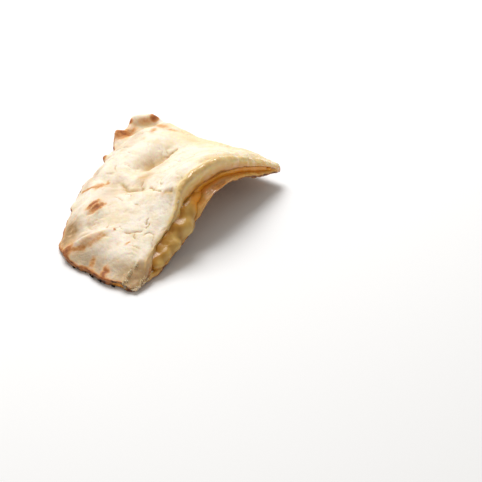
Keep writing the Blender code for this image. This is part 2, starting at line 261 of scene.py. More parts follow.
crust = {
    "voxel": 0.6,                # mm between the points of the surface
    "smoothing": 4,
    "keep": 0.62,                # share of the faces that is kept, and how much more the visible ones count
    "keepVisible": 10,
    # what counts as hidden: facing down this much, or roofed over, for rays of this start and length in mm,
    # and this far behind the front cut
    "hidden": (-0.4, 0.5, 30, 10),
    # the front cut is surveyed along p, with q from, to and step. The edge is the first place, up to the
    # given number of steps in, that is less than so much lower than the steps ahead of it. The heights are
    # taken a little behind it.
    "survey": {"stations": 124, "depths": (-6, 20, 0.5), "edgeWithin": 34, "ahead": 18, "drop": 4,
               "behind": 2.5},
    "rays": (0.6, 0.7, 16),      # tell whether a point lies in the pocket: their start, lean and length
    # how far in from the front and the back cut the heights are taken, and how far a point may move for that
    "testInward": ((3.0, 9), (1.5, 3)),
    "noHeight": 40.0,            # stands for the heights where nothing was found
    "rimHeights": (4, 1.2, 1.5),        # at the very rim: how wide it is, and the heights for painting it
    "pocketRounds": 4,           # rounds of smoothing, of the pocket and of the heights
    "heightRounds": 2,
    "lipSmoothing": 26,          # rounds the upper layer's cut edge over
    # along the front cut: how far that edge is pushed out or drawn back, and how far it hangs
    "lipShift": ((0, 0.6), (60, 0.6), (72, 0.2), (84, -2.2), (90, -3.6), (98, -3.4), (106, -1.4), (112, 0.4),
                 (121, 0.5)),
    "lipDroop": ((0, 0), (8, 0.5), (20, 1.0), (45, 1.0), (60, 1.2), (75, 1.8), (95, 1.8), (110, 0.8),
                 (121, 0)),
    "droopReach": 2.4,
    # the lip stands up as a rounded cord with a hollow behind it: distance behind the edge, width, rise
    "lipCord": ((2.2, 1.8, 1.1), (7.2, 2.6, -1.7)),
    # unevenness of the dough and of its parts: size and height of each layer
    "lumps": ((15, 0.55), (6.5, 0.36), (2.8, 0.18), (1.4, 0.09)),
    "lipLumps": ((6.0, 0.5), (2.8, 0.3)),
    "lowerLumps": ((5.5, 0.6), (2.6, 0.4)),
    "butterLumps": ((3.6, 0.3), (1.9, 0.16)),
    "crumbLumps": ((3.0, 0.35), (1.3, 0.16)),                   # on the torn front end
    "rimWaves": ((9, 0.7), (3.5, 0.35)),
    "rimPush": 0.6,              # gives back what the smoothing takes off the thin rim
    # fine creases of the skin: size, depth, width as a share of the size
    "skinLines": ((8.0, 0.5, 0.045), (4.5, 0.34, 0.07)),
    "skinPatches": ((12, -0.1, 0.35), (6, -0.45, 0.05)),        # where they show: noise size and limits
    # what varies by itself: the mean, the swing, the size and the noise's seed
    "foldStrength": (0.75, 0.5, 4, 3),
    "lipStrength": (0.8, 0.5, 9, 6),
    "endEdge": (0, 1, 3, 7),
    "endReach": (5.6, 0.8, 2.2, 8),        # how far back from the front cut the torn face reaches
    "foldEnds": 0.25,            # share of a fold in which it fades out, at either end
    "foldSharpness": 1.5,
    "broadFold": 3,              # wider ones keep the same depth all along
    # uneven edges: size, reach, seeds
    "foldWaver": (2.6, 0.6, (1, 2)),
    "spotWaver": (2.2, 0.8, (21, 25)),
    "fineWaver": (0.9, 0.35, (22, 26)),
    # the torn face at the front end of the cut: how long and how steep it is, and where it has faded out
    "endLength": 7.5,
    "endSlope": 0.5,
    "endFade": 0.12,
    # where each effect shows, from the value where it is absent to the value where it is full, and back again
    # where there are four values. All are in mm, except up, down, facingFront, pocket and shareOfReach
    # (shares), angle (degrees round the tip from the back cut) and spots (noise).
    "masks": {
        "overGap": {"aboveGap": (-0.5, 0.5)},
        "deepIn": {"q": (9, 13)},
        "top": {"up": (0.05, 0.35), "pocket": (0.6, 0.25), "belowTop": (4.5, 2.5)},
        "outside": {"pocket": (0.7, 0.3)},
        "lip": {"belowTop": (8, 4), "behind": (7, 3)},
        "lipShift": {"behind": (4, 0.5)},
        "lipDroop": {"belowTop": (6, 2)},
        "lipCord": {"p": (4, 12, 80, 96)},
        "lipLumps": {"behind": (5, 2), "belowTop": (9, 6)},
        "lowerLumps": {"q": (9, 4)},
        "butterLumps": {"p": (50, 30), "q": (24, 12)},
        "end": {"p": (108, 112)},
        "torn": {"p": (99, 108), "q": (5, 1.5), "facingFront": (0.2, 0.6)},
        "rimPush": {"rim": (4, 0.5)},
        "rimWaves": {"rim": (6, 0.5)},
        "curlLift": {"aboveUnder": (0.3, 2.5)},
        "onTop": {"skinBelow": (6, 3)},
        "rimToast": {"rim": (5, 0)},
        "footToast": {"rim": (3.2, 1), "skinAbove": (3.2, 1.4)},
        "bandToast": {"rim": (7, 1.5), "skinAbove": (6, 1), "angle": (50, 62)},
        "char": {"angle": (66, 74, 86, 91), "rim": (1.6, 0.4), "skinAbove": (1.2, 0.5), "spots": (0, 0.3)},
        "ochre": {"rim": (2, 7)},
        "tanLip": {"behind": (8, 1.5), "p": (78, 88)},
        "crevice": {"p": (101, 104), "q": (3.4, 1.6), "belowTop": (1.2, 2.8)},
        "creviceEnd": {"p": (113, 110.5)},
        "cutDeeper": {"p": (12, 40)},
        "cutFace": {"behind": (4.5, 1), "depth": (0.6, 2.2)},
        "backFace": {"p": (2.5, 0.8), "belowTop": (0.8, 2.4)},
        "apexFace": {"radius": (7, 3), "belowTop": (0.8, 2.4)},
        "lipCrest": {"behind": (5, 2.5), "p": (110, 100), "spots": (-0.4, 0.1)},
        "butterFront": {"shareOfReach": (1, 0.15), "p": (2, 10)},
        "butterBack": {"p": (24, 6), "q": (95, 60)},
        "butterApex": {"radius": (60, 25)},
        "butterLip": {"behind": (7, 4), "p": (48, 60, 82, 98)},
        "greasyLip": {"behind": (5.5, 2.5), "p": (110, 102)},
        "greasyFromTip": {"p": (6, 14)},
        "greasyMiddle": {"p": (40, 56)},
        "greasyTop": {"p": (60, 20), "q": (24, 10), "spots": (-0.25, 0.15)},
        "lower": {"behind": (10, 6)},
        "lowFoot": {"aboveUnder": (2.7, 1.3), "q": (6, 2)},
        "bottom": {"down": (0.05, 0.5), "pocket": (0.6, 0.2)},
        "crumb": {"p": (96, 104)},
        "inside": {"pocket": (0.35, 0.8)},
    },
    "patchSize": 9,
    "spotSize": 2.6,
    # toast along the rim: strength, how much patches and spots change it, and how far spots blur its height
    "rimStrengths": {
        "rimToast": (0.12, 0.18, 0, 0),
        "footToast": (0.7, 0.2, 0.2, 0.7),
        "bandToast": (0.58, 0.15, 0, 1),
    },
    # how far patches and spots blur the limits of the other masks
    "blurs": {"creviceEnd": 0.6, "lip": 0.8, "lowFoot": 0.8, "butterFront": 0.3},
    # strength of the painted shade in the crevice at the lip's front end
    "creviceShade": 0.56,
    # painted shade, yellow-brown, in the hollows: rounds of smoothing that tell their size, limits of their
    # depth in mm, strength
    "hollowShadeOchre": ((8, 0.05, 0.3, 0.8), (80, 0.1, 1.0, 0.6)),
    "greasyOchre": {"greasyFromTip": 0.28, "greasyMiddle": 0.3},
    # strength of the painted shade on the lip's shoulder near the front end
    "lipShadeTan": 0.95,
    "tanPatches": 0.25,
    # the cut's face runs from a painted highlight at its top edge through butter yellow to painted shade
    # above the pocket
    # colour down the cut's face: its share near the tip and how much is added further on, the least thickness
    # that it is spread over, and the share at the apex
    "cutDeepening": (0.6, 0.5),
    "thinnestCut": 3,
    "apexDepth": 0.75,
    # butter that soaked in: how far back from the front cut it reaches along p, and elsewhere its strength,
    # what limits it and how far patches blur that
    "butterReach": ((0, 8), (20, 13), (45, 16), (60, 11), (80, 8), (100, 6), (121, 3)),
    "butterStrengths": {"butterBack": (0.6, "p", 5), "butterApex": (0.34, "radius", 8)},
    "lowerOut": (2.0, 3.0, 0.8),           # of the lower layer's face: start and end past the cut, strength
    "crumbInCrevice": 0.85,
    # broad swells and hollows: points along each, width, rise
    "swells": {
        "bubbleCrest": ([(-5.0, 40.6), (-10.9, 32.5), (-15.7, 24.6), (-20.5, 17.0), (-24.0, 9.5)], 5.5, 1.3),
        "bubbleBack": ([(-20.0, 36.0), (-28.5, 24.0), (-33.5, 14.0)], 6.0, -1.2),
        "bubbleEnd": ([(-27.0, 7.5), (-21.0, 2.5), (-17.0, -3.0)], 3.6, 0.9),
        "leftHollow": ([(-57.0, -29.0), (-50.0, -33.5), (-42.0, -35.0)], 4.5, -1.1),
        "ridgeFill": ([(-42.0, -49.0), (-33.0, -46.0)], 4.4, 1.0),
        "ridgeCrest": ([(-58.0, -43.5), (-50.8, -45.4), (-45.5, -45.2), (-40.3, -43.8), (-33.0, -41.5)],
                       2.1, 1.4),
        "backSwell": ([(4.0, 55.0), (9.0, 46.0), (14.0, 36.0)], 6.0, 0.8),
        "bendHollow": ([(-25.5, -6.5), (-22.6, -10.3), (-17.5, -12.5)], 3.0, -1.4),
        "bendKnoll": ([(-20.0, -17.0), (-22.5, -18.5)], 3.0, 0.7),
        "knobHollow": ([(-18.0, 69.3), (-12.6, 70.2), (-7.5, 69.4)], 2.4, -1.6),
        "rollHollow": ([(-31.5, 55.5), (-26.0, 60.0), (-21.5, 64.0)], 2.0, -1.2),
    },
    # folds and cracks: points from end to end, widths on the left and on the right of the line, depth
    "folds": {
        "valley": ([(-13.8, 9.5), (-11.5, 14.5), (-8.6, 18.8), (-5.2, 23.4), (-1.9, 27.1), (3.0, 32.2)],
                   5.5, 1.3, 1.7),
        "valleyFold": ([(-2.5, 26.4), (0.1, 29.3), (3.0, 32.2), (5.7, 35.4)], 0.9, 0.7, 1.1),
        "valleyLip": ([(2.9, 31.7), (1.6, 29.2), (-0.6, 29.6)], 0.7, 0.7, 0.5),
        "bendFold": ([(-29.7, 5.0), (-26.6, -0.7), (-24.4, -5.2), (-21.6, -8.6), (-18.6, -9.4),
                      (-13.4, -10.7)], 0.8, 1.3, 1.6),
        "bendFoot": ([(-25.0, -9.5), (-22.0, -13.2), (-18.0, -13.6)], 0.9, 0.9, 0.9),
        "bendUp": ([(-17.6, -9.0), (-16.4, -5.5), (-14.6, -3.0)], 0.7, 0.7, 0.8),
        "curl": ([(-18.1, -1.3), (-16.8, 0.9), (-15.2, -0.4), (-14.2, 2.2)], 0.7, 0.7, 0.8),
        "creaseRight": ([(-14.0, -11.0), (-12.1, -14.2), (-10.0, -19.7), (-7.6, -24.6), (-5.7, -28.6)],
                        0.65, 0.65, 1.4),
        "goldGroove": ([(-7.6, -27.6), (-3.7, -30.7), (-0.4, -32.6)], 1.2, 0.8, 1.2),
        "longWrinkle": ([(-0.6, 14.7), (3.2, 7.4), (6.1, 2.9), (9.5, 3.4), (13.6, 10.5), (16.4, 10.8)],
                        0.65, 0.65, 0.8),
        "shortWrinkle": ([(4.2, 20.6), (8.4, 23.5), (11.4, 20.5)], 0.65, 0.65, 0.8),
        "crackTop": ([(-13.6, -39.0), (-14.8, -40.1), (-15.6, -41.6), (-16.3, -43.8)], 0.6, 0.6, 1.1),
        "crackLeft": ([(-16.4, -45.1), (-18.6, -45.9), (-21.5, -45.2), (-24.8, -45.1), (-28.3, -43.4)],
                      0.6, 0.6, 1.0),
        "crackRight": ([(-16.4, -45.1), (-14.7, -44.0), (-14.0, -42.1)], 0.55, 0.55, 0.9),
        "crackDown": ([(-21.9, -45.4), (-22.4, -47.6), (-21.9, -50.6)], 0.55, 0.55, 0.7),
        "endTear": ([(-21.4, -64.5), (-22.9, -66.0), (-23.6, -67.6), (-25.1, -69.1)], 0.7, 0.9, 0.9),
        "rollFold": ([(-33.6, 43.0), (-28.4, 38.9), (-23.2, 35.6), (-19.5, 33.9)], 1.5, 1.5, 0.8),
        "wrinkleA": ([(-27.5, -54.7), (-24.4, -54.1), (-21.4, -55.6), (-19.0, -58.0)], 0.55, 0.55, 0.36),
        "wrinkleB": ([(-27.1, -57.9), (-24.0, -57.2), (-21.1, -58.8), (-19.2, -60.6)], 0.55, 0.55, 0.3),
        "wrinkleC": ([(-28.7, -59.3), (-25.6, -59.4), (-22.6, -60.2), (-20.3, -62.5)], 0.55, 0.55, 0.2),
        "wrinkleD": ([(-22.7, -49.8), (-23.1, -53.2), (-22.6, -56.7)], 0.55, 0.55, 0.18),
        "wrinkleE": ([(-20.2, -49.9), (-20.4, -53.2), (-19.8, -56.6)], 0.55, 0.55, 0.18),
        "wrinkleF": ([(-18.1, -48.6), (-17.8, -51.9), (-17.8, -55.1)], 0.55, 0.55, 0.18),
    },
    # dents and blisters: x, y, half length, half width, turn in degrees, rise
    "dents": {
        "dentTopA": (-0.3, -7.4, 2.3, 1.2, 47, -0.4),
        "dentTopB": (17.8, 41.1, 2.6, 1.2, 62, -0.35),
        "dentTopC": (15.2, -15.7, 1.5, 0.9, 60, -0.25),
        "dentMiddleA": (-19.8, -25.9, 2.6, 1.2, 46, -0.5),
        "dentMiddleB": (-14.9, -28.3, 2.2, 1.0, 40, -0.4),
        "dentMiddleC": (-26.4, -30.1, 2.8, 1.2, 17, -0.4),
        "dentMiddleD": (-30.0, -36.6, 2.0, 1.0, 20, -0.3),
        "blisterLeft": (-42.2, -21.0, 4.0, 2.1, 27, 0.8),
        "blisterRight": (-39.2, -24.8, 4.2, 1.9, 22, 0.8),
        "blisterNotch": (-41.0, -22.8, 4.6, 0.6, 24, -0.35),
    },
    # crust drawn up or out at the rim: x, y, radius, push outwards, lift
    "rimCurls": {
        "knobLeft": (-18.5, 73.0, 4.6, 1.2, 2.8),
        "knobRight": (-8.5, 73.5, 3.6, 0.4, 1.5),
        "knobMiddle": (-13.5, 75.0, 4.0, 0.4, 1.4),
        "rollTip": (-29.5, 60.0, 3.2, 1.3, 1.6),
        "bumpA": (-36.5, 39.0, 2.6, 1.6, 1.6),
        "bumpB": (-45.5, 17.0, 2.6, 0.7, 0.8),
        "leftRim": (-60.0, -27.0, 11.0, 1.3, 0.0),
        "frontCorner": (-58.5, -47.0, 4.5, 0.9, 0.5),
    },
    # what the oven coloured: x, y, half length, half width, turn in degrees, strength from 0 to 1
    "toastSpots": {
        "streakPink": (-39.4, 1.2, 4.8, 2.6, 50, 0.42),
        "streakTip": (-35.5, 5.4, 2.6, 1.0, 66, 0.5),
        "streakLow": (-45.2, 2.3, 3.4, 1.1, -5, 0.42),
        "blisterLeft": (-43.0, -19.8, 4.2, 2.2, 27, 0.76),
        "blisterRight": (-40.4, -22.9, 4.6, 2.2, 22, 0.74),
        "blisterGlow": (-40.8, -20.6, 6.6, 4.4, 25, 0.28),
        "ridgeGlow": (-46.5, -48.4, 9.5, 3.2, 10, 0.28),
        "cornerBrown": (-57.8, -46.4, 4.6, 3.6, 40, 0.72),
        "cornerGlow": (-57.0, -43.0, 6.5, 5.0, 60, 0.3),
        "ovalA": (-43.6, -56.8, 3.0, 1.8, 52, 0.44),
        "ovalB": (-38.2, -65.0, 3.8, 2.2, 54, 0.7),
        "comma": (-25.6, -52.1, 2.0, 0.9, 50, 0.42),
        "orangeDot": (29.7, -10.9, 1.7, 0.6, 69, 0.6),
        "salmonBackA": (-3.6, 62.5, 7.0, 4.2, -50, 0.36),
        "salmonBackB": (2.6, 55.6, 5.0, 2.2, -20, 0.34),
        "salmonFoot": (-8.4, 54.7, 4.6, 2.2, 70, 0.36),
        "salmonDot": (-14.4, 41.5, 3.4, 1.6, 63, 0.22),
        "rimStreak": (-52.9, -21.4, 3.0, 1.3, 75, 0.26),
        "rollBrown": (-26.0, 62.0, 6.8, 3.8, 42, 0.66),
        "rollEnd": (-20.2, 66.4, 3.4, 2.0, 40, 0.44),
        "knobFoot": (-12.5, 71.4, 5.4, 1.6, 2, 0.34),
        "redDot": (-31.9, -42.6, 0.75, 0.5, 75, 0.6),
    },
    "toastLines": {
        "ridge": ([(-37.8, -45.8), (-42.4, -48.2), (-47.4, -49.2)], 2.2, 0.32),
        "ridgeLeft": ([(-47.4, -49.2), (-52.0, -48.4), (-56.0, -46.4), (-58.6, -43.6)], 1.5, 0.46),
        "streak": ([(-48.6, 3.4), (-45.2, 2.1), (-41.3, 1.6)], 1.2, 0.46),
    },
    # brown on the drawn-up crust: x, y, z, radius, strength
    "toastTips": {
        "knobRight": (-7.2, 72.6, 9.4, 3.0, 0.66),
        "knobLeft": (-22.0, 71.5, 9.5, 2.2, 0.7),
        "knobTop": (-18.6, 77.0, 10.5, 1.7, 0.6),
        "rollTip": (-30.2, 60.0, 5.4, 2.3, 0.88),
        "bumpA": (-37.6, 39.5, 5.0, 2.8, 0.66),
        "cornerTip": (-60.2, -43.5, 1.4, 2.6, 0.86),
    },
    "freckles": [(-30.6, -11.4), (-47.5, -0.9), (-42.5, -32.0), (-33.3, -37.7), (-50.0, -30.2),
                 (-54.5, -29.7), (-55.5, -33.2), (-52.1, -38.7), (-45.3, -29.0), (-30.5, -51.4),
                 (-36.8, -57.1), (-30.5, -60.9), (-33.0, -68.0), (-28.2, -69.4), (-7.2, -50.7)],
    "freckle": (1.3, 1.0, 50, 0.2),        # half length, half width, turn, strength
    # painted shade, yellow-brown, in dips and on faces turned from the light: x, y, half length, half width,
    # turn, strength
    "shadeSpots": {
        "valley": (-11.2, 18.6, 7.6, 3.6, 50, 0.8),
        "valleyFoot": (-14.5, 0.6, 7.0, 4.2, 62, 0.76),
        "valleyRight": (-6.0, 12.0, 5.0, 3.0, 50, 0.3),
        "behindBubble": (-22.0, 38.0, 9.0, 4.0, 52, 0.35),
        "bend": (-22.2, -9.8, 5.6, 2.6, 22, 0.65),
        "bendLeft": (-26.2, -3.5, 3.6, 1.7, 58, 0.35),
        "goldGroove": (-3.5, -30.8, 4.4, 1.5, -31, 0.85),
        "middleDents": (-18.0, -26.8, 4.0, 1.8, 40, 0.35),
        "rollShade": (-30.0, 45.5, 7.5, 1.8, -50, 0.32),
        "knobShade": (-13.2, 70.2, 5.6, 1.3, 2, 0.8),
        "knobNeck": (-19.0, 69.6, 3.0, 1.6, -29, 0.6),
        "rollFace": (-24.5, 62.6, 6.0, 2.6, 42, 0.7),
        "frontCorner": (-27.5, -70.5, 7.0, 5.0, 30, 0.5),
    },
    # tan: lightly baked areas, and painted shade on slopes that turn away from the light, as at frontRim,
    # front and streakSide
    "tanAndShadeSpots": {
        "left": (-57.5, -34.0, 14.0, 7.0, 86, 1.3),
        "leftUp": (-58.5, -20.0, 9.0, 2.6, 74, 0.5),
        "streakSide": (-34.0, -8.0, 12.0, 7.0, 60, 0.42),
        "leftHollow": (-50.5, -40.5, 8.0, 3.6, 20, 0.6),
        "rimBack": (-43.5, 14.0, 14.0, 3.0, 66, 0.4),
        "frontRim": (-41.5, -61.5, 18.0, 6.0, -47, 0.72),
        "front": (-29.0, -67.0, 10.0, 5.5, -30, 0.65),
        "roll": (-27.0, 55.0, 8.0, 3.0, 60, 0.35),
        "neck": (-19.5, 64.0, 6.0, 3.0, 42, 0.5),
        "neckFoot": (-18.5, 49.0, 6.0, 4.0, 60, 0.4),
        "behindBubble": (-25.0, 44.0, 8.0, 4.0, 50, 0.3),
    },
    # colours of wheat dough, from raw-white to burnt
    "cream": "F3E8D7",
    "deepCream": "E8D8BA",
    "tanAndShade": "A68254",
    # yellow-brown for painted shade in hollows and on faces turned from the light, and for fat along the lip
    "ochre": "C0964E",
    "butter": "E8CE92",
    # the cut's face: a painted highlight at its top edge, butter yellow below, then painted shade,
    # ochre-brown, towards the pocket
    "cutHighlightToShade": ((0.0, "FBF0D4"), (0.22, "F0D490"), (0.45, "E0AC48"), (0.75, "CE8E38"), (1.0, "AE6A28")),
    "crumb": "C6A478",
    "lowerRamp": ((0.0, "EC9E3A"), (0.4, "D89E40"), (0.75, "CDA464"), (0.88, "A86A34"), (1.0, "5E2C16")),
    "inside": "EE9E34",
    "bottomPale": "AE7A46",
    "bottomBrown": "5C301A",
    "toastRamp": ((0.0, "F0DFC2"), (0.2, "E4BC8E"), (0.4, "CE945A"), (0.6, "B06E3A"), (0.8, "864826"),
                  (1.0, "42200F")),
    "char": "1D110C",
    "roughness": 0.62,
    "butterRoughness": 0.24,
    # light goes a few mm in, red light the furthest
    "shader": {"Coat Roughness": 0.08, "IOR": 1.45, "Subsurface Weight": 0.5, "Subsurface Scale": 0.003,
               "Subsurface Radius": (1.0, 0.5, 0.2)},
}


def mask(wanted, facts, **shifted):
    # how much an effect shows at each point; what is in shifted takes the place of a fact
    amount = 1.0
    for name, limits in wanted.items():
        values = shifted[name] if name in shifted else facts[name]
        amount = amount * smoothStep(limits[0], limits[1], values)
        if len(limits) > 2:
            amount = amount * smoothStep(limits[3], limits[2], values)
    return amount


def dressBread():
    bread = copyNode("naan_bread", "naan_crust")
    addModifier(bread, "SUBSURF", levels=1, render_levels=1)
    addModifier(bread, "REMESH", mode="VOXEL", voxel_size=crust["voxel"] / 1000, use_smooth_shade=True)
    addModifier(bread, "SMOOTH", factor=0.5, iterations=crust["smoothing"])
    # fewer faces inside the pocket and underneath, where little shows
    places, outward = readMesh(bread)
    tree = BVHTree.FromObject(bread, bpy.context.evaluated_depsgraph_get())
    facing, start, reach, depth = crust["hidden"]
    hidden = outward[:, 2] < facing
    for number in np.nonzero(outward[:, 2] > 0)[0]:
        above = Vector(places[number] + outward[number] * start) / 1000
        hidden[number] = tree.ray_cast(above, Vector((0, 0, 1)), reach / 1000)[0] is not None
    hidden &= (places[:, :2] - tip) @ alongBack > depth
    addGroup(bread, "visible", np.where(hidden, 0.0, 1.0))
    addModifier(bread, "DECIMATE", ratio=crust["keep"], vertex_group="visible", invert_vertex_group=True,
                vertex_group_factor=crust["keepVisible"])
    print("bread remeshed:", len(places), "points, thinned out to", len(bread.data.vertices))
    return bread


def measureCut(tree):
    # along the front cut, every mm from the tip: how far back the upper layer's edge lies, and just behind
    # it the heights of the top and of the pocket's roof and floor
    survey = crust["survey"]
    stations = np.arange(0.0, survey["stations"])
    depths = np.arange(*survey["depths"])
    section = []
    for p in stations:
        tops = []
        for q in depths:
            x, y = tip + p * alongFront + q * alongBack
            tops.append((heightsUnder(tree, x, y) or [-9])[0])
        edge = 0
        for number, q in enumerate(depths[:survey["edgeWithin"]]):
            if tops[number] > max(max(tops[number:number + survey["ahead"]]) - survey["drop"], 0):
                edge = q
                break
        x, y = tip + p * alongFront + (edge + survey["behind"]) * alongBack
        found = heightsUnder(tree, x, y) or [0, 0]
        middle = (found[0] + found[-1]) / 2
        roof, ground = found[1:3] if len(found) > 3 else (middle, middle)
        section.append((edge, found[0], roof, ground))
    section = np.array(section)
    for column in range(4):
        padded = np.pad(section[:, column], 1, mode="edge")
        section[:, column] = np.convolve(padded, (0.25, 0.5, 0.25), mode="valid")
    return stations, section


def measureBread(piece):
    # what the sculpting and the painting need to know of each point
    places, outward = readMesh(piece)
    flat = places[:, :2]
    fromTip = flat - tip
    p, q = fromTip @ alongFront, fromTip @ alongBack
    radius = np.hypot(fromTip[:, 0], fromTip[:, 1])
    facts = {"places": places, "flat": flat, "up": outward[:, 2], "p": p, "q": q, "radius": radius}
    facts["away"] = fromTip / np.maximum(radius, 1)[:, None]
    facts["angle"] = np.degrees(np.arctan2(p, q))        # 0 at the back cut, 90 at the front cut
    # the rim's distance from the tip, in narrow sectors from -5 to 95 degrees
    bins = 180
    slot = np.clip(((facts["angle"] + 5) / 100 * bins).astype(int), 0, bins - 1)
    reach = np.zeros(bins)
    np.maximum.at(reach, slot, radius)
    reach = np.maximum(reach, np.roll(reach, 1))
    facts["rim"] = reach[slot] - radius

    tree = BVHTree.FromObject(piece, bpy.context.evaluated_depsgraph_get())
    stations, section = measureCut(tree)
    for column, name in enumerate(("edge", "topZ", "roofZ", "floorZ")):
        facts[name] = np.interp(p, stations, section[:, column])
    facts["behind"] = q - facts["edge"]
    facts["aboveGap"] = places[:, 2] - (facts["roofZ"] + facts["floorZ"]) / 2
    where = crust["masks"]
    facts["isUpper"] = np.maximum(mask(where["overGap"], facts), mask(where["deepIn"], facts))

    start, lean, length = crust["rays"]
    leans = [(0, 0), (lean, 0), (-lean, 0), (0, lean), (0, -lean)]
    (frontGoal, frontMost), (backGoal, backMost) = crust["testInward"]
    inward = alongBack * np.clip(frontGoal - q, 0, frontMost)[:, None]
    inward = inward + alongFront * np.clip(backGoal - p, 0, backMost)[:, None]
    hits = np.zeros(len(places))
    belowTop = np.full(len(places), crust["noHeight"])
    aboveUnder = belowTop.copy()
    for number in range(len(places)):
        normal = Vector(outward[number])
        side = normal.orthogonal().normalized()
        up = normal.cross(side)
        above = Vector(places[number] / 1000) + normal * start / 1000
        for a, b in leans:
            if tree.ray_cast(above, (normal + side * a + up * b).normalized(), length / 1000)[0]:
                hits[number] += 1
        found = heightsUnder(tree, *(flat[number] + inward[number]))
        if found:
            belowTop[number] = found[0] - places[number][2]
            aboveUnder[number] = places[number][2] - found[-1]
    facts["pocket"] = neighbourMean(piece.data, hits / len(leans), crust["pocketRounds"])
    # for painting, the very rim, which no ray meets, counts as thin
    rimReach, rimBelow, rimAbove = crust["rimHeights"]
    atRim = (belowTop == crust["noHeight"]) & (facts["rim"] < rimReach)
    for name, heights in (("belowTop", belowTop), ("aboveUnder", aboveUnder),
                          ("skinBelow", np.where(atRim, rimBelow, belowTop)),
                          ("skinAbove", np.where(atRim, rimAbove, aboveUnder))):
        facts[name] = neighbourMean(piece.data, heights, crust["heightRounds"])
    facts["top"] = mask(where["top"], facts)
    print("bread measured")
    return facts


def roundLip(bread, facts):
    # the upper layer's cut edge is pushed out or drawn back, hangs a little, and is rounded over
    p, where = facts["p"], crust["masks"]
    places = readMesh(bread)[0]
    nearLip = mask(where["lip"], facts) * facts["isUpper"]
    shift = np.interp(p, *np.transpose(crust["lipShift"])) * mask(where["lipShift"], facts) * nearLip
    places[:, :2] -= alongBack * shift[:, None]
    droop = np.interp(p, *np.transpose(crust["lipDroop"]))
    droop *= np.exp(-(np.maximum(facts["behind"], 0) / crust["droopReach"]) ** 2)
    places[:, 2] -= droop * mask(where["lipDroop"], facts) * facts["isUpper"]
    writeMesh(bread, places)
    addGroup(bread, "lip", nearLip)
    addModifier(bread, "SMOOTH", factor=0.5, iterations=crust["lipSmoothing"], vertex_group="lip")


def vary(places, name):
    mean, swing, size, seed = crust[name]
    return mean + swing * grain(places, size, seed)


def sculptBread(bread, facts):
    flat, behind, isUpper, where = facts["flat"], facts["behind"], facts["isUpper"], crust["masks"]
    roundLip(bread, facts)
    places, outward = readMesh(bread)
    outside = mask(where["outside"], facts)

    # broad forms move the points up and down
    broad = np.zeros(len(places))
    for points, width, rise in crust["swells"].values():
        near = lineDistance(flat, curveThrough(points))[0]
        broad += rise * np.exp(-(near / width) ** 2)
    alongLip = mask(where["lipCord"], facts) * vary(places, "lipStrength")
    for back, width, rise in crust["lipCord"]:
        broad += rise * alongLip * np.exp(-((behind - back) / width) ** 2)

    # fine ones move them outwards
    wavy = waver(flat, places, *crust["foldWaver"])
    uneven = vary(places, "foldStrength")
    height = np.zeros(len(places))
    for points, leftWidth, rightWidth, depth in crust["folds"].values():
        near, side, share = lineDistance(wavy, curveThrough(points))
        fade = smoothStep(0, crust["foldEnds"], share) * smoothStep(0, crust["foldEnds"], 1 - share)
        if leftWidth < crust["broadFold"]:
            fade = fade * uneven
        width = np.where(side > 0, leftWidth, rightWidth)
        height -= fade * depth * np.exp(-(near / width) ** 2 * crust["foldSharpness"])
    for *dent, rise in crust["dents"].values():
        height += rise * oval(wavy, *dent)
    wavy3 = np.column_stack([wavy, places[:, 2]])
    for number, (size, depth, width) in enumerate(crust["skinLines"]):
        lines = np.exp(-(grain(wavy3, size, 60 + number) / width / 2) ** 2)
        for step, (patch, low, high) in enumerate(crust["skinPatches"]):
            lines *= smoothStep(low, high, grain(places, patch, 50 + 5 * step + number))
        height -= depth * lines
    fine = height * facts["top"] + outside * roughness(places, crust["lumps"], 10)
    fine += alongLip * isUpper * mask(where["lipLumps"], facts) * roughness(places, crust["lipLumps"], 90)
    lower = (1 - isUpper) * outside * mask(where["lowerLumps"], facts)
    fine += lower * roughness(places, crust["lowerLumps"], 70)
    fine += facts["top"] * mask(where["butterLumps"], facts) * roughness(places, crust["butterLumps"], 80)

    # the front end is torn rather than cut
    end = mask(where["end"], facts, p=facts["p"] + vary(places, "endEdge")) * isUpper
    slope = np.clip((vary(places, "endReach") - facts["q"]) / crust["endLength"], 0, 1)
    broad -= crust["endSlope"] * end * slope * np.maximum(facts["aboveUnder"], 0)
    torn = mask(where["torn"], facts, facingFront=-outward[:, :2] @ alongBack)
    facts["torn"] = np.maximum(torn, end * smoothStep(0, crust["endFade"], slope))
    fine += facts["torn"] * roughness(places, crust["crumbLumps"], 20)
    places = places + outward * fine[:, None]
    places[:, 2] += broad * np.maximum(facts["top"], end)

    # the rim waves, and here and there it is drawn up
    level = places * (1, 1, 0)
    push = crust["rimPush"] * mask(where["rimPush"], facts)
    push += mask(where["rimWaves"], facts) * roughness(level, crust["rimWaves"], 30)
    for x, y, radius, reach, lift in crust["rimCurls"].values():
        share = np.exp(-((flat[:, 0] - x) ** 2 + (flat[:, 1] - y) ** 2) / radius ** 2)
        push += reach * share
        places[:, 2] += lift * share * mask(where["curlLift"], facts)
    places[:, :2] += facts["away"] * push[:, None]
    places[:, 2] = np.maximum(places[:, 2], 0)
    writeMesh(bread, places)
    facts["places"] = places
    print("bread sculpted")


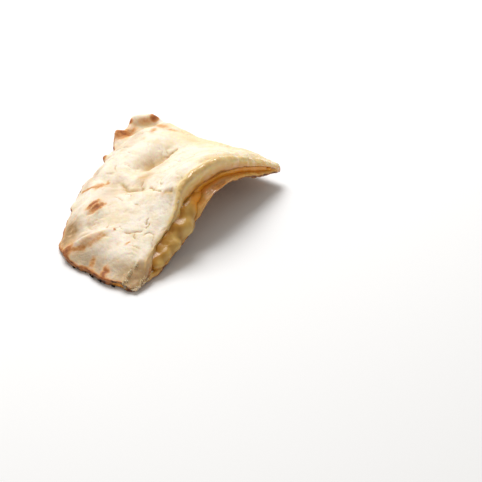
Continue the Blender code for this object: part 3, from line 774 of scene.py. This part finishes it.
def toastBread(facts, wavy, onTop):
    # how brown the oven made each point: spots and lines on top, drawn-up crust, and the thin rim
    places, where = facts["places"], crust["masks"]
    patches, spots = facts["patches"], facts["spots"]
    toast = strongestSpot(wavy, crust["toastSpots"])
    for points, width, strength in crust["toastLines"].values():
        near = lineDistance(wavy, curveThrough(points))[0]
        toast = np.maximum(toast, strength * np.exp(-(near / width) ** 2))
    for place in crust["freckles"]:
        toast = np.maximum(toast, strongestSpot(wavy, {"freckle": (*place, *crust["freckle"])}))
    toast *= onTop
    for *place, radius, strength in crust["toastTips"].values():
        near = np.linalg.norm(places - place, axis=1)
        toast = np.maximum(toast, strength * np.exp(-(near / radius) ** 4))
    for name, (strength, byPatches, bySpots, blur) in crust["rimStrengths"].items():
        amount = mask(where[name], facts, skinAbove=facts["skinAbove"] + blur * spots)
        toast = np.maximum(toast, amount * (strength + byPatches * patches + bySpots * spots))
    return toast


def paintBread(bread, facts):
    places, where, blurs = facts["places"], crust["masks"], crust["blurs"]
    p, behind, isUpper = facts["p"], facts["behind"], facts["isUpper"]
    patches = facts["patches"] = grain(places, crust["patchSize"], 31)
    spots = facts["spots"] = grain(places, crust["spotSize"], 32)
    wavy = waver(waver(places[:, :2], places, *crust["spotWaver"]), places, *crust["fineWaver"])
    onTop = mask(where["onTop"], facts) * isUpper
    blurredLip = behind + blurs["lip"] * spots
    toast = toastBread(facts, wavy, onTop)

    # painted shade: the hollows and the shaded spots turn yellow-brown; along the lip, where fat lay, the
    # dough is yellow-brown too
    ochre = np.zeros(len(places))
    for rounds, low, high, strength in crust["hollowShadeOchre"]:
        ochre = np.maximum(ochre, strength * smoothStep(low, high, concavity(bread, rounds)))
    ochre *= onTop * mask(where["ochre"], facts)
    ochre = np.maximum(ochre, strongestSpot(wavy, crust["shadeSpots"]) * onTop)
    greasyLip = sum(share * mask(where[name], facts) for name, share in crust["greasyOchre"].items())
    greasyLip *= mask(where["greasyLip"], facts, behind=blurredLip)
    ochre = np.maximum(ochre, greasyLip * onTop)
    tanAndShade = strongestSpot(wavy, crust["tanAndShadeSpots"]) * (1 + crust["tanPatches"] * patches)
    # painted shade: the upper layer darkens to tan as it bends down to its lip near the front end
    tanAndShade = np.maximum(tanAndShade, crust["lipShadeTan"] * mask(where["tanLip"], facts)) * onTop

    # painted shade: the crevice at the front end of the lip is darkened in the toast colours
    crevice = mask(where["crevice"], facts) * isUpper
    crevice *= mask(where["creviceEnd"], facts, p=p + blurs["creviceEnd"] * spots)
    toast = np.maximum(toast, crust["creviceShade"] * crevice)

    # the cut: how far down the upper layer's face a point lies, from its top edge to the pocket's roof
    facts["depth"] = np.maximum(facts["topZ"] - places[:, 2], 0)
    least, more = crust["cutDeepening"]
    thickness = np.maximum(facts["topZ"] - facts["roofZ"], crust["thinnestCut"])
    apex = mask(where["apexFace"], facts)
    cutDepth = facts["depth"] / thickness * (least + more * mask(where["cutDeeper"], facts))
    cutDepth = np.maximum(cutDepth, crust["apexDepth"] * apex)
    cutFace = mask(where["cutFace"], facts) * isUpper * (1 - crevice)
    cutFace = np.maximum(np.maximum(cutFace, mask(where["backFace"], facts)), apex)
    lipCrest = mask(where["lipCrest"], facts) * isUpper

    reach = np.interp(p, *np.transpose(crust["butterReach"]))
    butter = mask(where["butterFront"], facts, shareOfReach=behind / reach + blurs["butterFront"] * patches)
    for name, (strength, limit, blur) in crust["butterStrengths"].items():
        amount = mask(where[name], facts, **{limit: facts[limit] + blur * patches})
        butter = np.maximum(butter, strength * amount)
    butter = np.maximum(butter, mask(where["butterLip"], facts, behind=blurredLip)) * onTop
    greasyTop = butter * mask(where["greasyTop"], facts)

    lower = (1 - isUpper) * mask(where["lower"], facts)
    start, end, strength = crust["lowerOut"]
    lowerOut = np.clip(1 - (facts["q"] + start) / np.maximum(facts["edge"] + end, start), 0, 1)
    blurredFoot = facts["aboveUnder"] + blurs["lowFoot"] * spots
    lowFoot = mask(where["lowFoot"], facts, aboveUnder=blurredFoot) * (1 - isUpper)
    bottom = mask(where["bottom"], facts, down=-readMesh(bread)[1][:, 2])
    crumb = np.maximum(facts["torn"], mask(where["crumb"], facts) * cutFace)
    painted = {
        "toast": toast,
        "ochre": ochre,
        "tanAndShade": tanAndShade,
        "butter": butter,
        "cutFace": cutFace,
        "cutDepth": cutDepth,
        "crumb": crumb * (1 - crust["crumbInCrevice"] * crevice),
        "inside": mask(where["inside"], facts),
        "lower": lower,
        "lowerOut": np.maximum(strength * lowerOut, lowFoot),
        "bottom": bottom,
        "char": mask(where["char"], facts),
        "wet": np.maximum(np.maximum(cutFace, lipCrest), greasyTop),
    }
    for name, values in painted.items():
        setAttribute(bread, name, values)
    print("bread painted")


def bakedDough():
    # wheat dough baked in fierce heat: matte and floury, ivory where it stayed pale, tan to burnt elsewhere
    material, shader = startMaterial("bakedNaanDough", crust["shader"])
    link = material.node_tree.links.new
    place = addNode(material, "TexCoord").outputs["Object"]
    share = {}
    for name in ("toast", "ochre", "tanAndShade", "butter", "cutFace", "cutDepth", "crumb", "inside", "lower",
                 "lowerOut", "bottom", "char", "wet"):
        share[name] = addNode(material, "Attribute", attribute_name=name).outputs["Fac"]
    mottle = addNode(material, "TexNoise", {"Vector": place, "Scale": perMm(10), "Detail": 5,
                                            "Roughness": 0.6})
    fine = addNode(material, "TexNoise", {"Vector": place, "Scale": perMm(1.6), "Detail": 4,
                                          "Roughness": 0.65})
    pores = addNode(material, "TexVoronoi", {"Vector": place, "Scale": perMm(2.4)})

    # toast, broken up by a fine grain where there is any
    grainy = addNode(material, "MapRange", {"Value": fine.outputs[0], "From Min": 0.25, "From Max": 0.75,
                                            "To Min": 0.72, "To Max": 1.28})
    broken = addNode(material, "Math", {0: share["toast"], 1: grainy.outputs[0]}, operation="MULTIPLY")
    ramps = {}
    for name, strength in (("toastRamp", broken.outputs[0]), ("cutHighlightToShade", share["cutDepth"]),
                           ("lowerRamp", share["lowerOut"])):
        ramp = addNode(material, "ValToRGB", {"Fac": strength})
        stops = ramp.color_ramp.elements
        while len(stops) < len(crust[name]):
            stops.new(0.5)
        for stop, (position, code) in zip(stops, crust[name]):
            stop.position = position
            stop.color = linear(code)
        ramps[name] = ramp.outputs["Color"]
    toasted = addNode(material, "MapRange", {"Value": broken.outputs[0], "From Min": 0.0, "From Max": 0.38},
                      interpolation_type="SMOOTHSTEP")
    blotches = addNode(material, "MapRange", {"Value": mottle.outputs[0], "From Min": 0.4, "From Max": 0.68},
                       interpolation_type="SMOOTHSTEP")
    brownSpots = addNode(material, "MapRange", {"Value": mottle.outputs[0], "From Min": 0.42,
                                                "From Max": 0.68}, interpolation_type="SMOOTHSTEP")
    dough = addNode(material, "Mix", {0: blotches.outputs[0], 6: linear(crust["cream"]),
                                      7: linear(crust["deepCream"])}, data_type="RGBA")
    bottom = addNode(material, "Mix", {0: brownSpots.outputs[0], 6: linear(crust["bottomPale"]),
                                       7: linear(crust["bottomBrown"])}, data_type="RGBA")
    colour = dough.outputs[2]
    for amount, coat in ((share["tanAndShade"], linear(crust["tanAndShade"])), (share["butter"], linear(crust["butter"])),
                         (share["ochre"], linear(crust["ochre"])), (toasted.outputs[0], ramps["toastRamp"]),
                         (share["cutFace"], ramps["cutHighlightToShade"]), (share["crumb"], linear(crust["crumb"])),
                         (share["inside"], linear(crust["inside"])), (share["lower"], ramps["lowerRamp"]),
                         (share["bottom"], bottom.outputs[2]), (share["char"], linear(crust["char"]))):
        colour = addNode(material, "Mix", {0: amount, 6: colour, 7: coat}, data_type="RGBA").outputs[2]
    link(colour, shader.inputs["Base Color"])

    # butter and moist crumb shine, the floury crust doesn't
    rough = addNode(material, "MapRange", {"Value": share["wet"], "From Min": 0.1, "From Max": 0.8,
                                           "To Min": crust["roughness"], "To Max": crust["butterRoughness"]})
    link(rough.outputs[0], shader.inputs["Roughness"])
    link(share["wet"], shader.inputs["Coat Weight"])
    pits = addNode(material, "MapRange", {"Value": pores.outputs["Distance"], "From Min": 0.0,
                                          "From Max": 0.35, "To Min": -0.35, "To Max": 0.0})
    relief = addNode(material, "Math", {0: fine.outputs[0], 1: pits.outputs[0]}, operation="ADD")
    bump = addNode(material, "Bump", {"Height": relief.outputs[0], "Distance": 0.0006, "Strength": 0.55})
    link(bump.outputs[0], shader.inputs["Normal"])
    return material


bread = dressBread()
breadFacts = measureBread(bread)
sculptBread(bread, breadFacts)
paintBread(bread, breadFacts)
finishPiece(bread, bakedDough(), "naan_bread")


melt = {
    "voxel": 0.6,
    "smoothing": 36,
    "behindEdge": 0.5,           # how far behind the upper layer's edge the cheese shows in the slit
    "overlap": 0.4,              # how far the melted cheese sticks into both layers there
    "slit": (8, 76),             # p from and to
    "farthest": 30,              # cheese that lies further back than this isn't drawn forward
    "drawnFrom": (14, 1),        # depth of the cheese that follows, and of what comes all the way
    "level": 0.3,                # faces that look up or down more than this touch the layers
    "aboveUnderside": 0.7,
    # where the folds hang out, and where the slit's oily cheese shows
    "hanging": {"p": (66, 74), "q": (9, 5)},
    "inSlit": {"p": (74, 66)},
    "turn": 225,                 # degrees, the run of the front cut
    # soft folds of cheese that sag out over the lower layer: p, q, z and half sizes along p, across and up
    "folds": {
        "slitEnd": (9.6, 1.6, 13.7, 2.8, 1.5, 1.0),
        "neck": (66.5, 6.6, 22.6, 7.0, 3.0, 3.0),
        "shoulder": (73.5, 3.6, 18.6, 6.5, 3.6, 4.2),
        "slopeTop": (73.0, 5.6, 20.6, 7.5, 4.2, 4.6),
        "slopeA": (80.0, 4.8, 16.8, 7.5, 4.6, 4.6),
        "slopeB": (87.0, 4.8, 12.8, 7.5, 4.6, 3.6),
        "slopeC": (93.5, 4.6, 10.2, 7.0, 4.4, 3.2),
        "slopeD": (100.5, 3.2, 7.6, 6.5, 3.8, 2.8),
        "upper": (80.0, 1.0, 15.4, 7.5, 4.6, 5.2),
        "middle": (89.0, 0.6, 10.6, 5.8, 4.6, 4.4),
        "middleFoot": (95.6, 0.4, 8.4, 5.0, 4.2, 3.6),
        "lower": (101.6, 0.6, 6.2, 5.4, 4.0, 3.0),
    },
    # creases between the folds: p, width, depth
    "notches": ((75.0, 2.0, 0.3), (85.6, 2.0, 0.7), (92.5, 1.8, 0.4), (98.6, 1.6, 0.4)),
    "creaseWaver": (2.2, 5, 45),        # how far they waver, size and seed of that
    "lumps": ((6.0, 0.5), (3.0, 0.2), (1.5, 0.06)),
    # painted shade, darker, in hollows, in creases and close to the dough: rounds of smoothing that tell the
    # hollows' size, limits of their depth and of the distance to the dough, the most that a crease counts,
    # and rounds that blur all of it
    "hollowRounds": 40,
    "hollowDepth": (0.1, 0.7),
    "nearDough": (3.2, 0.8),
    "mostCrease": 0.8,
    "hollowBlur": 4,
    "pale": "CCA960",
    "curd": "BA8F42",
    # colour of the painted shade in the hollows, the creases and close to the dough
    "deepShade": "AC741C",
    "oily": "F4A434",
    # light goes 3 mm in, red light the furthest
    "shader": {"Roughness": 0.28, "IOR": 1.46, "Subsurface Weight": 0.5, "Subsurface Scale": 0.003,
               "Subsurface Radius": (1.0, 0.7, 0.3)},
}


def fromCuts(p, q, z):
    x, y = tip + p * alongFront + q * alongBack
    return Vector((x, y, z)) / 1000


def fillSlit(cheese, tree):
    # draws the cheese forward in the narrow slit under the upper layer's edge, as thin as the slit is there
    places, outward = readMesh(cheese)
    fromTip = places[:, :2] - tip
    p, q = fromTip @ alongFront, fromTip @ alongBack
    stations, section = measureCut(tree)
    front = np.array([q[abs(p - station) < 1.5].min(initial=99) for station in stations])
    target = section[:, 0] + melt["behindEdge"]
    start, end = melt["slit"]
    drawn = (stations > start) & (stations < end) & (front < melt["farthest"])
    gap = np.where(drawn, np.maximum(front - target, 0), 0)
    shift = np.interp(p, stations, gap) * smoothStep(*melt["drawnFrom"], q - np.interp(p, stations, front))
    places[:, :2] -= alongBack * shift[:, None]
    for number in np.nonzero(shift > 0.05)[0]:
        found = heightsUnder(tree, places[number, 0], places[number, 1])
        if len(found) > 3:
            roof, ground = found[1] + melt["overlap"], found[2] - melt["overlap"]
            up = outward[number, 2]
            if abs(up) > melt["level"]:
                places[number, 2] = roof if up > 0 else ground
            places[number, 2] = np.clip(places[number, 2], ground, roof)
    writeMesh(cheese, places)


def dressCheese(tree):
    cheese = copyNode("cheese_filling", "cheese_melt")
    addModifier(cheese, "SUBSURF", levels=1, render_levels=1)
    fillSlit(cheese, tree)
    folds = [cheese]
    for p, q, z, along, across, up in melt["folds"].values():
        bpy.ops.object.select_all(action="DESELECT")
        bpy.ops.mesh.primitive_ico_sphere_add(subdivisions=4, radius=0.001)
        fold = bpy.context.object
        bpy.ops.transform.resize(value=(along, across, up))
        fold.rotation_euler.z = math.radians(melt["turn"])
        fold.location = fromCuts(p, q, z)
        bpy.ops.object.transform_apply(location=True, rotation=True, scale=True)
        folds.append(fold)
    joinPieces(folds, "cheese_melt")
    addModifier(cheese, "REMESH", mode="VOXEL", voxel_size=melt["voxel"] / 1000, use_smooth_shade=True)
    fromTip = readMesh(cheese)[0][:, :2] - tip
    facts = {"p": fromTip @ alongFront, "q": fromTip @ alongBack}
    hanging = mask(melt["hanging"], facts)
    addGroup(cheese, "soft", hanging)
    addModifier(cheese, "SMOOTH", factor=0.5, iterations=melt["smoothing"], vertex_group="soft")
    addModifier(cheese, "SMOOTH", factor=0.5, iterations=2)
    places, outward = readMesh(cheese)
    swing, size, seed = melt["creaseWaver"]
    p = facts["p"] + swing * grain(places, size, seed)
    creases = sum(depth * np.exp(-((p - middle) / width) ** 2) for middle, width, depth in melt["notches"])
    lumpy = roughness(places, melt["lumps"], 40)
    places = places + outward * ((lumpy - creases) * hanging)[:, None]
    # nowhere does it come out underneath
    for number, (x, y, z) in enumerate(places):
        found = heightsUnder(tree, x, y)
        if found:
            places[number, 2] = max(z, found[-1] + melt["aboveUnderside"])
    writeMesh(cheese, places)
    apart = np.array([tree.find_nearest(Vector(place) / 1000)[3] * 1000 for place in places])
    # painted shade: darker where the cheese sinks in, in the creases and close to the dough
    hollowShade = smoothStep(*melt["hollowDepth"], concavity(cheese, melt["hollowRounds"]))
    hollowShade = np.maximum(hollowShade, smoothStep(*melt["nearDough"], apart))
    hollowShade = np.maximum(hollowShade, np.clip(creases, 0, melt["mostCrease"]))
    setAttribute(cheese, "hollowShade", neighbourMean(cheese.data, hollowShade * hanging, melt["hollowBlur"]))
    setAttribute(cheese, "slit", mask(melt["inSlit"], facts))
    print("cheese joined:", len(cheese.data.vertices), "points")
    return cheese


def meltedCheese():
    # mild cheese melted inside the naan: greasy, straw-coloured with ochre curds, orange where oil collects
    material, shader = startMaterial("meltedCheese", melt["shader"])
    link = material.node_tree.links.new
    place = addNode(material, "TexCoord").outputs["Object"]
    curds = addNode(material, "TexNoise", {"Vector": place, "Scale": perMm(9), "Detail": 2, "Roughness": 0.5})
    skin = addNode(material, "TexNoise", {"Vector": place, "Scale": perMm(1.5), "Detail": 3,
                                          "Roughness": 0.5})
    curdShare = addNode(material, "MapRange", {"Value": curds.outputs[0], "From Min": 0.36,
                                               "From Max": 0.62}, interpolation_type="SMOOTHSTEP")
    hollowShade = addNode(material, "Attribute", attribute_name="hollowShade")
    slit = addNode(material, "Attribute", attribute_name="slit")
    colour = linear(melt["curd"])
    # curds, then painted shade in the hollows, then the orange oil of the slit
    for amount, coat in ((curdShare.outputs[0], "pale"), (hollowShade.outputs["Fac"], "deepShade"),
                         (slit.outputs["Fac"], "oily")):
        mix = addNode(material, "Mix", {0: amount, 6: colour, 7: linear(melt[coat])}, data_type="RGBA")
        colour = mix.outputs[2]
    bump = addNode(material, "Bump", {"Height": skin.outputs[0], "Distance": 0.0005, "Strength": 0.5})
    link(colour, shader.inputs["Base Color"])
    link(bump.outputs[0], shader.inputs["Normal"])
    return material


breadTree = BVHTree.FromObject(bread, bpy.context.evaluated_depsgraph_get())
cheese = dressCheese(breadTree)
finishPiece(cheese, meltedCheese(), "cheese_filling")


scraps = {
    "seed": 5,
    # burnt scraps of dough along the front rim: x, y, length, thickness
    "places": [(-56.4, -49.4, 3.0, 0.6), (-52.6, -54.0, 4.0, 0.7), (-49.0, -57.6, 3.6, 0.9),
               (-45.2, -61.6, 3.0, 0.7), (-41.8, -65.0, 4.6, 1.1), (-38.6, -67.6, 3.4, 1.1),
               (-35.4, -69.6, 3.2, 0.8)],
    "perPlace": 4,
    "turn": -48,                 # degrees, the run of the front rim
    # how they differ: size as a share, slide as a share of the length, degrees of turn, height as a share of
    # the thickness, and mm outwards
    "sizes": (0.45, 1.0),
    "slides": (-0.5, 0.5),
    "turns": (-25, 25),
    "heights": (0.35, 0.6),
    "outwards": (-1.1, -0.2),
    "squash": 0.8,
    "lumps": (0.9, 0.35),        # size, and height as a share of the thickness
    "grit": (0.4, 0.2),          # size, and height in mm
    "lift": 0.15,
    "shader": {"Roughness": 0.85},
    "burnt": "17100C",
    "brown": "4B2A1A",
}


def burnRim():
    # each scrap is a ball drawn out along the rim, broken up by noise and squashed
    random.seed(scraps["seed"])
    pieces = []
    for x, y, length, thickness in scraps["places"]:
        for part in range(scraps["perPlace"]):
            size = random.uniform(*scraps["sizes"])
            slide = random.uniform(*scraps["slides"]) * length
            angle = math.radians(scraps["turn"] + random.uniform(*scraps["turns"]))
            bpy.ops.object.select_all(action="DESELECT")
            bpy.ops.mesh.primitive_ico_sphere_add(subdivisions=2, radius=0.0005)
            scrap = bpy.context.object
            squash = scraps["squash"]
            bpy.ops.transform.resize(value=(length * size * squash, thickness * size,
                                            thickness * size * squash))
            bpy.ops.object.transform_apply(location=False, rotation=False, scale=True)
            places, outward = readMesh(scrap)
            lumpSize, lumpRise = scraps["lumps"]
            gritSize, gritRise = scraps["grit"]
            rough = lumpRise * thickness * grain(places, lumpSize, len(pieces))
            rough += gritRise * grain(places, gritSize, len(pieces) + 50)
            writeMesh(scrap, places + outward * rough[:, None])
            height = thickness * random.uniform(*scraps["heights"]) + scraps["lift"]
            out = random.uniform(*scraps["outwards"])
            scrap.location = Vector((x + math.cos(angle) * slide - 0.6 * out,
                                     y + math.sin(angle) * slide - out, height)) / 1000
            scrap.rotation_euler.z = angle
            bpy.ops.object.transform_apply(location=True, rotation=True, scale=True)
            pieces.append(scrap)
    return joinPieces(pieces, "burnt_scraps")


def burntCrust():
    # dough burnt to charcoal: black and dull, brown where it is less burnt
    material, shader = startMaterial("burntCrust", scraps["shader"])
    link = material.node_tree.links.new
    place = addNode(material, "TexCoord").outputs["Object"]
    ash = addNode(material, "TexNoise", {"Vector": place, "Scale": perMm(1.8), "Detail": 4, "Roughness": 0.6})
    share = addNode(material, "MapRange", {"Value": ash.outputs[0], "From Min": 0.48, "From Max": 0.66})
    colour = addNode(material, "Mix", {0: share.outputs[0], 6: linear(scraps["burnt"]),
                                       7: linear(scraps["brown"])}, data_type="RGBA")
    bump = addNode(material, "Bump", {"Height": ash.outputs[0], "Distance": 0.0006, "Strength": 0.8})
    link(colour.outputs[2], shader.inputs["Base Color"])
    link(bump.outputs[0], shader.inputs["Normal"])
    return material


finishPiece(burnRim(), burntCrust(), None)


shreds = {
    "seed": 11,
    # fibres of crumb that the cut tore loose: p, q, z of the middle of each patch, its reach, how many fibres
    # it has and how long they are
    "patches": [(113.4, 4.6, 9.4, 1.8, 14, 2.2), (117.4, 5.0, 7.4, 1.8, 14, 2.4),
                (120.6, 4.6, 4.6, 1.6, 10, 2.4), (114.5, -1.6, 4.0, 2.6, 18, 2.4),
                (119.0, -1.4, 2.4, 2.2, 14, 2.2), (108.5, -0.8, 4.6, 2.4, 10, 1.8),
                (77.4, 6.8, 27.4, 1.4, 7, 1.6), (82.4, 5.8, 23.4, 1.6, 7, 1.6),
                (64.5, 6.9, 34.0, 2.0, 5, 1.2)],
    "width": 0.42,
    "thickness": 0.2,
    # shares of the length: how much narrower the free end is, how far it bends aside and how far it curls up
    "pinch": 0.85,
    "bend": 0.25,
    "curl": 0.5,
    # how they differ: height as a share of the patch's reach, lean in x, y and z, and size as a share of the
    # length
    "heights": (-0.3, 0.3),
    "leans": ((-0.8, 0.8), (-0.8, 0.8), (-0.6, 0.9)),
    "sizes": (0.5, 1.2),
    "outwards": 0.6,             # how strongly they stand out from the dough
    "colour": "F1E2C4",
    "shader": {"Roughness": 0.5, "Subsurface Weight": 0.5, "Subsurface Scale": 0.001,
               "Subsurface Radius": (1.0, 0.7, 0.4)},
}


def tearShred():
    # one fibre: a bar stretched, pinched to a point and curled
    bpy.ops.object.select_all(action="DESELECT")
    bpy.ops.mesh.primitive_grid_add(x_subdivisions=7, y_subdivisions=1, size=0.001)
    shred = bpy.context.object
    bpy.ops.transform.resize(value=(1.0, shreds["width"], 1.0))
    bpy.ops.object.transform_apply(location=False, rotation=False, scale=True)
    addModifier(shred, "SOLIDIFY", thickness=shreds["thickness"] / 1000)
    places = readMesh(shred)[0]
    share = np.clip(places[:, 0] + 0.5, 0, 1)
    pinch = 1 - shreds["pinch"] * share ** 1.5
    places[:, 1] = places[:, 1] * pinch + shreds["bend"] * np.sin(share * 2.4)
    places[:, 2] = places[:, 2] * pinch + shreds["curl"] * share ** 2
    writeMesh(shred, places)
    return shred


def tearCrumb():
    random.seed(shreds["seed"])
    first = tearShred()
    pieces = []
    for p, q, z, reach, count, length in shreds["patches"]:
        for number in range(count):
            along = random.uniform(-reach, reach)
            place = fromCuts(p + along, q, z + random.uniform(*shreds["heights"]) * reach)
            spot, outward = breadTree.find_nearest(place)[:2]
            lean = Vector([random.uniform(*limits) for limits in shreds["leans"]])
            shred = first.copy()
            shred.data = first.data.copy()
            bpy.context.scene.collection.objects.link(shred)
            size = length * random.uniform(*shreds["sizes"])
            turn = (outward * shreds["outwards"] + lean).to_track_quat("X", "Z").to_matrix().to_4x4()
            shred.matrix_world = Matrix.Translation(spot) @ turn @ Matrix.Scale(size, 4)
            pick(shred)
            bpy.ops.object.transform_apply(location=True, rotation=True, scale=True)
            pieces.append(shred)
    bpy.data.objects.remove(first, do_unlink=True)
    return joinPieces(pieces, "torn_crumb")


def tornCrumb():
    # crumb torn by the knife: white, moist and thin enough for light to shine through
    material, shader = startMaterial("tornCrumb", shreds["shader"])
    place = addNode(material, "TexCoord").outputs["Object"]
    fibre = addNode(material, "TexNoise", {"Vector": place, "Scale": perMm(1.2), "Detail": 3,
                                           "Roughness": 0.6})
    colour = addNode(material, "Mix", {0: fibre.outputs[0], 6: linear(crust["crumb"]),
                                       7: linear(shreds["colour"])}, data_type="RGBA")
    material.node_tree.links.new(colour.outputs[2], shader.inputs["Base Color"])
    return material


finishPiece(tearCrumb(), tornCrumb(), None)


studio = {
    "floor": "F3F4F6",
    "floorSize": 6,
    "keyPlace": (-0.12, 0.50, 0.88),
    "keySize": 0.6,
    "keyPower": 10.5,
    "skyColour": (1.0, 0.95, 0.87),
    "sky": 0.42,
    "eye": (-6.96, -494.25, 350.0),        # mm, the viewer's place
    "eyeTilt": 52.4,
    "eyeTurn": -5.0,
    "eyeRoll": -1.5,
    "lens": 82.16,
}

bpy.ops.object.select_all(action="DESELECT")
bpy.ops.mesh.primitive_plane_add(size=studio["floorSize"], location=(0, 0, 0))
floor = bpy.context.object
floor.name = "floor"
floorPaint = startMaterial("matteWhiteBoard", {"Base Color": linear(studio["floor"]), "Roughness": 0.7})[0]
floor.data.materials.append(floorPaint)

keyLamp = bpy.data.lights.new("keyLamp", "AREA")
keyLamp.size = studio["keySize"]
keyLamp.energy = studio["keyPower"]
keyObject = bpy.data.objects.new("keyLamp", keyLamp)
bpy.context.scene.collection.objects.link(keyObject)
keyObject.location = studio["keyPlace"]
keyObject.rotation_euler = (-Vector(studio["keyPlace"])).to_track_quat("-Z", "Y").to_euler()

world = bpy.data.worlds.new("studioSky")
world.use_nodes = True
world.node_tree.nodes["Background"].inputs["Color"].default_value = (*studio["skyColour"], 1)
world.node_tree.nodes["Background"].inputs["Strength"].default_value = studio["sky"]
bpy.context.scene.world = world
bpy.context.scene.view_settings.view_transform = "Standard"

lens = bpy.data.cameras.new("viewer")
lens.lens = studio["lens"]
viewer = bpy.data.objects.new("viewer", lens)
bpy.context.scene.collection.objects.link(viewer)
viewer.matrix_world = (Matrix.Translation(Vector(studio["eye"]) / 1000)
                       @ Matrix.Rotation(math.radians(studio["eyeTurn"]), 4, "Z")
                       @ Matrix.Rotation(math.radians(studio["eyeTilt"]), 4, "X")
                       @ Matrix.Rotation(math.radians(studio["eyeRoll"]), 4, "Z"))
bpy.context.scene.camera = viewer
